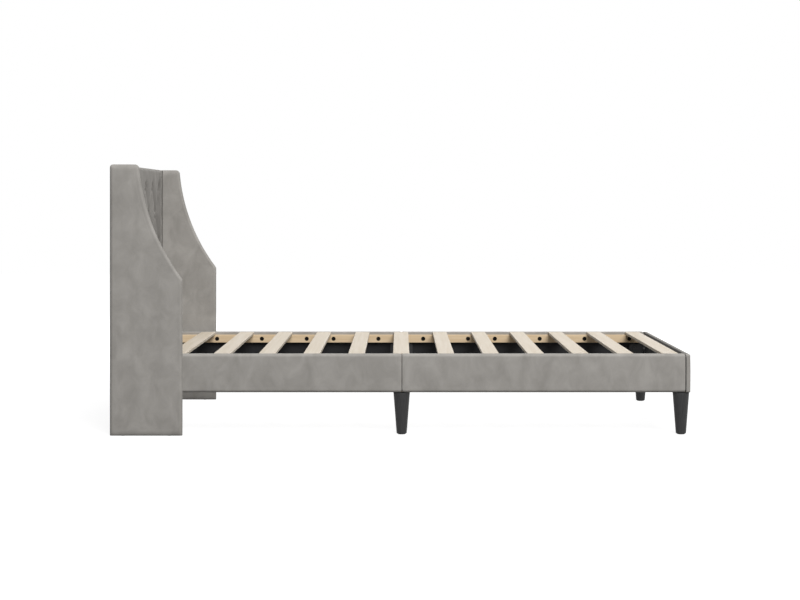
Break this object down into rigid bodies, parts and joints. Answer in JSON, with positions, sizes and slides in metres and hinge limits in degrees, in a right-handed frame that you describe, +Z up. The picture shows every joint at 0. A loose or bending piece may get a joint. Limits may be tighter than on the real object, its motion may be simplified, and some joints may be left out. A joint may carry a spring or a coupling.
{
  "type": "upholstered bed",
  "caption": "Wingback upholstered single bed with a diamond tufted headboard, padded side rails, bare slats on ledgers and short tapered legs.",
  "frame": {"origin": "on the floor under the middle of the bed", "axes": "+X from the headboard to the foot, +Z up, -Y is the left side as seen by someone who stands at the foot"},
  "size_m": [1.9659, 1.05, 0.917],
  "materials": {
    "velvet": "matt short pile velvet",
    "lining": "thin black non-woven cloth",
    "board": "bare board",
    "dowel_wood": "bare beech",
    "slat_wood": "planed pale pine",
    "ledger_wood": "planed pine",
    "leg_wood": "black stained, satin",
    "black_steel": "black satin",
    "glide_plastic": "matt"
  },
  "bodies": {
    "root": {"foot_corner_bolts": "black_steel", "foot_corner_brackets": "black_steel", "foot_rail_core": "board", "foot_rail_cover": "velvet", "foot_rail_lining": "lining", "head_corner_bolts": "black_steel", "head_corner_brackets": "black_steel", "headboard_back_cover": "lining", "headboard_core": "board", "headboard_pad": "velvet", "headboard_skirt_cover": "velvet", "ledger_bolts_left": "black_steel", "ledger_bolts_right": "black_steel", "ledger_left_foot": "ledger_wood", "ledger_left_head": "ledger_wood", "ledger_left_mid": "ledger_wood", "ledger_right_foot": "ledger_wood", "ledger_right_head": "ledger_wood", "ledger_right_mid": "ledger_wood", "leg_glides": "glide_plastic", "leg_hanger_bolts": "black_steel", "leg_left_foot": "leg_wood", "leg_left_mid": "leg_wood", "leg_plates": "black_steel", "leg_right_foot": "leg_wood", "leg_right_mid": "leg_wood", "rail_joint_bolts": "black_steel", "rail_joint_plates": "black_steel", "side_rail_core_left_foot": "board", "side_rail_core_left_head": "board", "side_rail_core_right_foot": "board", "side_rail_core_right_head": "board", "side_rail_cover_left_foot": "velvet", "side_rail_cover_left_head": "velvet", "side_rail_cover_right_foot": "velvet", "side_rail_cover_right_head": "velvet", "side_rail_lining_left_foot": "lining", "side_rail_lining_left_head": "lining", "side_rail_lining_right_foot": "lining", "side_rail_lining_right_head": "lining", "slat_01": "slat_wood", "slat_02": "slat_wood", "slat_03": "slat_wood", "slat_04": "slat_wood", "slat_05": "slat_wood", "slat_06": "slat_wood", "slat_07": "slat_wood", "slat_08": "slat_wood", "slat_09": "slat_wood", "slat_10": "slat_wood", "slat_11": "slat_wood", "slat_12": "slat_wood", "slat_13": "slat_wood", "tuft_buttons": "velvet", "wing_core_left": "board", "wing_core_right": "board", "wing_cover_left": "velvet", "wing_cover_right": "velvet", "wing_dowels": "dowel_wood", "wing_glides": "glide_plastic"}
  },
  "joints": []
}
